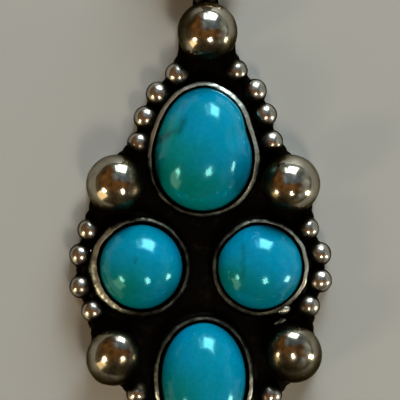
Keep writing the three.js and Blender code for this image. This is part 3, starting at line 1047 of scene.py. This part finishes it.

# %% [markdown]
# ## Stones
#
# Turquoise is cut as a cabochon: a flat back, a short straight side for the bezel to grip, and a
# high dome. It is ground and polished by hand on a wheel, so the outline and the dome are slightly
# off true, and some domes lean or twist. The polish is good but softer than that of glass. Its
# colour is a cyan blue that turns green in places, with faint dark threads of the rock that it
# grew in, called matrix. The threads and the green patches are few, so each is a row of a table,
# painted into the mesh as an attribute. The green patches lie on each stone's lower left: they are
# partly the stone's own green and partly painted light, the warm light and the shade on that side
# painted into the colour.

# %% Turquoise
BLUE, GREENISH = "0081AA", "007F80"  # the stone's own colour, and its green, in its clouds and in the partly painted patches
ROCK = "0C3F42"  # the threads of matrix
GLINT = "84F2FF"  # the polish lets the stone's own colour into its reflections
CLOUD_WIDTH = 2.6  # mm, the soft clouds of green
GRAIN_WIDTH = 0.3  # mm, coarser than real grain, so that it shows
POLISH_WIDTH = 1.1  # mm, the waves that the wheel leaves
POLISH_WAVES = 0.03  # mm, how deep those waves are
ORANGE_PEEL = 0.04  # how deep the grain is, as a share of the waves' depth


def turquoise(name):
    """Polished turquoise. The attributes matrix and green hold the threads and the green patches.

    The green patches are partly painted warm light and shade.
    """
    material, shader = new_finish(name)
    tree = material.node_tree
    place = add(tree, "ShaderNodeTexCoord").outputs["Object"]
    cloud = add(tree, "ShaderNodeTexNoise", {"Vector": place, "Scale": per_mm(CLOUD_WIDTH),
                "Detail": 3.0})
    grain = add(tree, "ShaderNodeTexNoise", {"Vector": place, "Scale": per_mm(GRAIN_WIDTH),
                "Detail": 4.0, "Roughness": 0.6})
    # The green patches are partly the stone's own green, partly painted warm light and shade.
    green = add(tree, "ShaderNodeAttribute", {"attribute_name": "green"}).outputs["Fac"]
    matrix = add(tree, "ShaderNodeAttribute", {"attribute_name": "matrix"}).outputs["Fac"]
    clouds = add(tree, "ShaderNodeMapRange", {"Value": cloud, "From Min": 0.35, "From Max": 0.65,
                 "To Max": 0.4})
    greener = add(tree, "ShaderNodeMath", {"operation": "ADD", "use_clamp": True, 0: clouds,
                  1: green})
    body = add(tree, "ShaderNodeMix", {"data_type": "RGBA", 0: greener, MIX_A: linear(BLUE),
               MIX_B: linear(GREENISH)})
    speckle = add(tree, "ShaderNodeMapRange", {"Value": grain, "From Min": 0.3, "From Max": 0.7,
                  "To Min": 0.9, "To Max": 1.1})
    speckled = add(tree, "ShaderNodeVectorMath", {"operation": "SCALE", 0: body, "Scale": speckle})
    veined = add(tree, "ShaderNodeMix", {"data_type": "RGBA", 0: matrix, MIX_A: speckled,
                 MIX_B: linear(ROCK)})
    polish = add(tree, "ShaderNodeMapRange", {"Value": grain, "To Min": 0.09, "To Max": 0.18})
    # The wheel leaves soft waves about a millimetre across, and the grain a faint orange peel.
    waves = add(tree, "ShaderNodeTexNoise", {"Vector": place, "Scale": per_mm(POLISH_WIDTH),
                "Detail": 1.0})
    relief = add(tree, "ShaderNodeMath", {"operation": "MULTIPLY_ADD", 0: grain, 1: ORANGE_PEEL,
                 2: waves})
    pits = add(tree, "ShaderNodeBump", {"Strength": 1.0, "Distance": POLISH_WAVES * MM,
               "Height": relief})
    fill(shader, {"IOR": 1.61, "Specular Tint": linear(GLINT), "Base Color": veined,
                  "Roughness": polish, "Normal": pits})
    return material


polished_turquoise = turquoise("polished_turquoise")
print("finish:", polished_turquoise.name)

# %% Matrix and green patches
WANDER = 0.12  # mm, how far a thread of matrix wanders
WANDER_PER_MM = 2.2
# The threads of matrix, each from one end to the other, in mm on the pendant.
THREADS = [
    {"ends": ((-3.15, 8.9), (-2.3, 9.4)), "width": 0.24, "depth": 0.8},
    {"ends": ((-2.3, 9.4), (-1.6, 9.6)), "width": 0.2, "depth": 0.55},
    {"ends": ((-1.6, 9.6), (-1.2, 10.3)), "width": 0.24, "depth": 0.65},
    {"ends": ((-1.3, 9.9), (-1.25, 11.5)), "width": 0.16, "depth": 0.22},
    {"ends": ((-4.68, 0.3), (-4.56, 0.56)), "width": 0.15, "depth": 0.45},
    {"ends": ((3.0, 1.5), (2.95, -0.6)), "width": 0.16, "depth": 0.35},
]
# Green patches, each a soft spot, in mm on the pendant, on each stone's lower left: partly the
# stone's own green, partly painted warm light and shade.
GREEN_PAINTED_LIGHT = [
    {"x": -2.8, "y": 9.6, "radius": 1.5, "depth": 0.75},
    {"x": -2.6, "y": 6.4, "radius": 2.2, "depth": 0.9},
    {"x": 0.2, "y": 4.6, "radius": 2.0, "depth": 0.5},
    {"x": -5.9, "y": -1.6, "radius": 1.8, "depth": 0.8},
    {"x": 2.5, "y": -0.9, "radius": 1.2, "depth": 0.9},
    {"x": -2.2, "y": -9.5, "radius": 2.0, "depth": 0.8},
]


def thread_depth(x, y):
    """How dark the matrix is at a point. Noise makes each thread wander and break off."""
    wander = WANDER * noise.noise(Vector((x, y, 0)) * WANDER_PER_MM)
    deepest = 0.0
    for thread in THREADS:
        start, end = Vector(thread["ends"][0]), Vector(thread["ends"][1])
        point = Vector((x + wander, y - wander))
        along = max(0.0, min(1.0, (point - start).dot(end - start) / (end - start).length_squared))
        away = (point - start.lerp(end, along)).length
        deepest = max(deepest, thread["depth"] * math.exp(-((away / thread["width"]) ** 2)))
    return deepest


def green_painted_light_depth(x, y):
    """How green the patches make a stone at a point, on top of its own clouds.

    The patches are partly the stone's own green and partly painted warm light and shade.
    """
    return min(1.0, sum(patch["depth"] * math.exp(
        -((x - patch["x"]) ** 2 + (y - patch["y"]) ** 2) / patch["radius"] ** 2) for patch in GREEN_PAINTED_LIGHT))


print(len(THREADS), "threads,", len(GREEN_PAINTED_LIGHT), "patches")

# %% Stones
STONE_LIFT = 0.3  # gap between a stone and the plate
GIRDLE = 0.7  # the straight side of a stone
BACK_RINGS = (0.3, 0.6, 0.96)  # across the flat back, as shares of the way out
GIRDLE_RINGS = (0.12, 0.4)  # up the straight side, the first above a small chamfer
DOME_RINGS = 52
STONE_AROUND = 128
OFF_TRUE = 0.06  # mm, how far the dome wanders
OFF_TRUE_PER_MM = 0.45


def stone_mesh(stone):
    """A stone as rings of vertices: out across its back, up its side and over its dome."""
    base = SHEET + STONE_LIFT
    girdle = base + GIRDLE
    profile = [(share, base) for share in BACK_RINGS] + [(1.0, base + up) for up in GIRDLE_RINGS]
    profile += [(math.cos(t), girdle + stone["dome"] * math.sin(t))
                for t in (math.pi / 2 * i / DOME_RINGS for i in range(DOME_RINGS))]
    outline = outline_points(stone, stone["stone_x"], stone["stone_y"], STONE_AROUND)
    vertices = []
    for share, z in profile:
        rise = max(0, z - girdle)
        for edge_x, edge_y in outline:
            x, y = mix(stone["x"], edge_x, share), mix(stone["y"], edge_y, share)
            twist = stone["twist"] * (y - stone["y"]) / stone["stone_y"]
            x, y = x + (stone["lean"][0] + twist) * rise, y + stone["lean"][1] * rise
            wander = noise.noise(Vector((x, y, 0)) * OFF_TRUE_PER_MM)
            off = OFF_TRUE * wander * (z - base) / stone["dome"]
            vertices.append(Vector((x, y, z - OFF_TRUE / 2 + off)) * MM)
    return vertices, capped(vertices, len(profile), STONE_AROUND)


for name, stone in STONES.items():
    piece = piece_from("stone_" + name, *stone_mesh(stone), polished_turquoise)
    places = [(v.co.x / MM, v.co.y / MM) for v in piece.data.vertices]
    write_attribute(piece.data, "matrix", [thread_depth(*place) for place in places])
    # The green patches are partly painted warm light and shade on each stone's lower left.
    write_attribute(piece.data, "green", [green_painted_light_depth(*place) for place in places])
    keep("stone_" + name, piece)

# %% [markdown]
# ## Where the wheel reaches
#
# The buffing wheel is broad and soft. It comes from above, so it reaches the top of a ball but not
# its foot, and an open edge but not the crack between two bezels. Rays cast from each vertex tell
# how open its surroundings are, and its height tells how far down the wheel has to reach. Their
# product is written into the attribute that the silver's finish reads. The bezels' sides towards
# the middle are made darker. The large balls are painted darker on the sides that their table
# lists: painted dark reflections of the blackened plate, the bezels and the shade round the
# pendant. The bezels' rims are painted lighter in some places and darker in others: painted
# highlights and painted shade. The back and the sawn edge are buffed separately.

# %% Openness
RAYS = 32
REACH = 4.0  # mm, how far off something still keeps the wheel away
START_OFF = 0.02  # mm, how far off the surface a ray starts
GRAZING = 0.15  # rays that run along the surface more closely than this don't count
GOLDEN = math.pi * (3 - math.sqrt(5))


def directions(count):
    """Directions spread evenly over a sphere, on a spiral."""
    spread = []
    for i in range(count):
        up = 1 - (2 * i + 1) / count
        spread.append(Vector((*polar(math.sqrt(1 - up * up), GOLDEN * i), up)))
    return spread


def all_faces(objects):
    """One tree of all the faces of some objects, to cast rays against."""
    vertices, faces = [], []
    for thing in objects:
        start = len(vertices)
        vertices.extend(v.co for v in thing.data.vertices)
        faces.extend([start + i for i in polygon.vertices] for polygon in thing.data.polygons)
    return BVHTree.FromPolygons(vertices, faces)


rays = directions(RAYS)
obstacles = all_faces(pieces.values())


def openness(point, normal):
    """The share of the half sphere over a point that is free, from 0 to 1."""
    start = point + normal * START_OFF * MM
    free = total = 0.0
    for ray in rays:
        facing = normal.dot(ray)
        if facing > GRAZING:
            total += facing
            if obstacles.ray_cast(start, ray, REACH * MM)[0] is None:
                free += facing
    return free / total


print(len(rays), "rays from each vertex")

# %% How far down the wheel reaches
# For each silver piece: the heights in mm, and the openness, at which buffing starts and is full.
BUFFING = {
    "back_plate": {"heights": (0.6, 3.0), "open": (0.3, 0.9)},
    "large_balls": {"heights": (2.0, 4.5), "open": (0.8, 0.99)},
    "granules": {"heights": (1.3, 2.4), "open": (0.55, 0.95)},
    "bezel": {"heights": (1.4, 2.1), "open": (0.5, 0.9)},
    "bezel_top": {"heights": (1.3, 2.1), "open": (0.34, 0.72)},
    "bezel_left": {"heights": (0.9, 1.9), "open": (0.5, 0.85)},
    "solder_beads": {"heights": (0.6, 1.3), "open": (0.0, 0.6)},
    "eye": {"heights": (0.6, 1.6), "open": (0.2, 0.8)},
    "bail": {"heights": (-1.0, 0.0), "open": (0.1, 0.7)},
}


def share_of(value, span):
    """How far a value has come from a span's start to its end, as a soft share of 0 to 1."""
    return smooth_share((value - span[0]) / (span[1] - span[0]))


for name, facts in BUFFING.items():
    print(f"{name}: {100 * share_of(2.0, facts['heights']):.0f} % at a height of 2 mm")

# %% Darker sides: the bezels' inner sides, and the large balls' painted dark sides
MIDDLE = Vector((0.17, 0.0))  # of the pendant, in mm
INNER_SHARE = 0.25  # how much of the buffing a bezel gets where it faces the pendant's middle
INNER_FACING = (-0.3, 0.8)  # how squarely it faces the middle where that starts and is full
PAINTED_DARK_SHARE = 0.15  # how much of its buffing a large ball keeps on its painted dark sides
PAINTED_DARK_LOW, PAINTED_DARK_HIGH = (-0.5, 0.3), (0.25, 0.9)  # how squarely a side faces those directions, low and high up
FLANK = 0.5  # of a large ball's sides, which keep a film of oxide
FLANK_OPEN = (0.25, 0.55)  # the openness at which that film starts and is full


def bezel_share(stone, point):
    """Full on the outer side of a stone's bezel, and less towards the middle.

    Painted highlights and painted shade are added round the rim.
    """
    centre = Vector((stone["x"], stone["y"]))
    out = point.xy / MM - centre
    facing = out.normalized().dot((MIDDLE - centre).normalized())
    share = mix(1.0, INNER_SHARE, share_of(facing, INNER_FACING))
    # Painted highlights and painted shade are added round the rim here.
    return min(max(share + swelling(stone["buffed_more"], math.atan2(out.y, out.x)), 0), 1)


def ball_share(point, normal, reached, full):
    """A large ball's share: full on top, a film down its flanks, less on sides painted dark."""
    ball = min(BALLS, key=lambda b: (Vector((b["x"], b["y"])) - point.xy / MM).length)
    # Sides that face the listed directions are painted darker: painted dark reflections.
    facing = max(normal.dot(Vector((*polar(1, math.radians(painted_dark)), 0))) for painted_dark in ball["painted_dark"])
    flank = FLANK * share_of(reached, FLANK_OPEN) * mix(1.0, PAINTED_DARK_SHARE, share_of(facing, PAINTED_DARK_LOW))
    top = full * mix(1.0, PAINTED_DARK_SHARE, share_of(facing, PAINTED_DARK_HIGH))
    return mix(flank, 1.0, top) * ball["polish"]


print("inner sides of the bezels get", INNER_SHARE, "and held sides of the balls", PAINTED_DARK_SHARE)

# %% Buffing
BACK_BUFFED = 0.8  # of the back and the sawn edge, which are buffed separately
BACK_OPEN = (0.4, 0.95)
BACK_HEIGHT = SHEET - 0.05  # what is lower than this, and doesn't face up, belongs to them
FACES_UP = 0.5


def buffed_and_painted_share(name, point, normal):
    """How much of a piece's oxide is buffed away at a point, from 0 to 1.

    It also holds the balls' painted dark reflections and the rims' painted highlights and shade.
    """
    height = point.z / MM
    reached = openness(point, normal)
    if height < BACK_HEIGHT and normal.z < FACES_UP:
        return BACK_BUFFED * share_of(reached, BACK_OPEN)
    facts = BUFFING.get(name) or BUFFING[name.split("_")[0]]
    share = share_of(height, facts["heights"]) * share_of(reached, facts["open"])
    if name.startswith("bezel"):
        share *= bezel_share(STONES[name.split("_")[1]], point)
    if name == "large_balls":
        share = ball_share(point, normal, reached, share)
    return share


for name, piece in pieces.items():
    if not name.startswith("stone"):
        shares = [buffed_and_painted_share(name, v.co, v.normal) for v in piece.data.vertices]
        write_attribute(piece.data, "buffed", shares)
        print(name, "is buffed", round(100 * sum(shares) / len(shares)), "%")

# %% [markdown]
# ## Surface under the pendant
#
# A plain pale surface carries the pendant. It isn't part of it, so it is marked as the stage.

# %% Surface
FLOOR = 0.6  # half its side, in metres


def honed_stone(name):
    """Pale stone that is ground smooth but not polished, so that it only shines softly."""
    material, shader = new_finish(name)
    fill(shader, {"Base Color": linear("A6A6A3"), "Roughness": 0.6})
    return material


corners = [(-FLOOR, -FLOOR, 0), (FLOOR, -FLOOR, 0), (FLOOR, FLOOR, 0), (-FLOOR, FLOOR, 0)]
floor = piece_from("floor", corners, [(0, 1, 2, 3)], honed_stone("honed_pale_stone"))
floor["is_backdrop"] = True
print("floor:", 2 * FLOOR, "m square")

# %% [markdown]
# ## Bodies and solids
#
# Each piece rides on the pendant's one body and stands for its solid in the frame: all the silver
# but the bail for the soldered setting, the bail and each stone for its own.

# %% Bodies and solids
BODY = next(iter(frame["bodies"]))
NODES = {"bail": "bail", **{"stone_" + name: "stone_" + name for name in STONES}}

for name, piece in pieces.items():
    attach(piece, BODY)
    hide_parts(NODES.get(name, "silver_setting"))
print(len(pieces), "pieces ride on", BODY)

# %% Sizes
visual_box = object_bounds()
for axis, letter in enumerate("XYZ"):
    spans = [(box[0][axis] * 1000, box[1][axis] * 1000) for box in (cad_box, visual_box)]
    print(letter, "CAD %.2f to %.2f, pieces %.2f to %.2f mm" % (*spans[0], *spans[1]))
